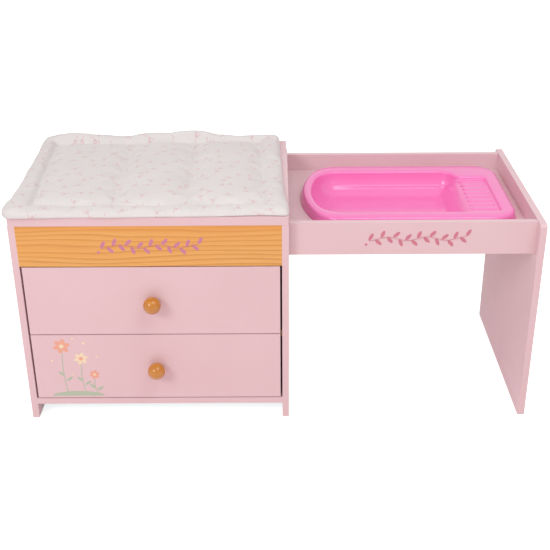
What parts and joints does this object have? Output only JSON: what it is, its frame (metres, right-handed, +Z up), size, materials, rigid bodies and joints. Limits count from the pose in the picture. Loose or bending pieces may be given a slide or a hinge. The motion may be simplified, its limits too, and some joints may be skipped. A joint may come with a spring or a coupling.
{
  "type": "doll changing dresser",
  "caption": "Doll-size changing dresser with drawers, a quilted mat on top and a slide-in bath tray on a leg panel.",
  "frame": {"origin": "on the floor, under the middle of the whole object's box with the tray drawn out", "axes": "+X to the right, from the cabinet to the leg panel; +Y to the back; +Z up; the drawers open towards -Y"},
  "size_m": [0.93, 0.4258, 0.4253],
  "materials": {
    "pink_paint": "satin pink paint on board",
    "pine": "satin varnished pine",
    "plain_wood": "raw plywood and battens",
    "knob_lacquer": "gloss lacquered turned wood",
    "steel": "zinc plated",
    "bath_plastic": "gloss moulded pink plastic",
    "mat_cotton": "quilted white cotton with small pink sprigs"
  },
  "bodies": {
    "cabinet": {"left_side_panel": "pink_paint", "right_side_panel": "pink_paint", "back_panel": "plain_wood", "bottom_board": "pink_paint", "divider_board": "plain_wood", "pine_fascia": "pine", "top_board": "pink_paint", "top_rear_board": "pink_paint", "rear_batten": "plain_wood", "left_drawer_runner": "plain_wood", "right_drawer_runner": "plain_wood", "tray_guides": "plain_wood", "tray_stops": "plain_wood", "top_dowels": "plain_wood", "cabinet_screws": "steel", "back_panel_screws": "steel"},
    "upper_drawer": {"upper_drawer_front": "pink_paint", "upper_drawer_left_side": "plain_wood", "upper_drawer_right_side": "plain_wood", "upper_drawer_back": "plain_wood", "upper_drawer_bottom": "plain_wood", "upper_knob": "knob_lacquer", "upper_knob_screw": "steel"},
    "lower_drawer": {"lower_drawer_front": "pink_paint", "lower_drawer_left_side": "plain_wood", "lower_drawer_right_side": "plain_wood", "lower_drawer_back": "plain_wood", "lower_drawer_bottom": "plain_wood", "lower_knob": "knob_lacquer", "lower_knob_screw": "steel"},
    "bath_tray": {"tray_front_rail": "pink_paint", "tray_back_rail": "pink_paint", "tray_end_rail": "pink_paint", "tray_floor": "pink_paint", "tray_floor_ledges": "plain_wood", "leg_panel": "pink_paint", "tray_screws": "steel", "bath_tub": "bath_plastic"},
    "mat": {"changing_mat": "mat_cotton"}
  },
  "joints": [
    {"name": "upper_drawer_slide", "type": "slide", "parent": "cabinet", "child": "upper_drawer", "axis": [0, -1, 0], "range_m": [0, 0.28]},
    {"name": "lower_drawer_slide", "type": "slide", "parent": "cabinet", "child": "lower_drawer", "axis": [0, -1, 0], "range_m": [0, 0.28]},
    {"name": "tray_slide", "type": "slide", "parent": "cabinet", "child": "bath_tray", "axis": [-1, 0, 0], "range_m": [0, 0.425]},
    {"name": "mat_lift", "type": "slide", "parent": "cabinet", "child": "mat", "axis": [0, 0, 1], "range_m": [0, 0.12]}
  ]
}
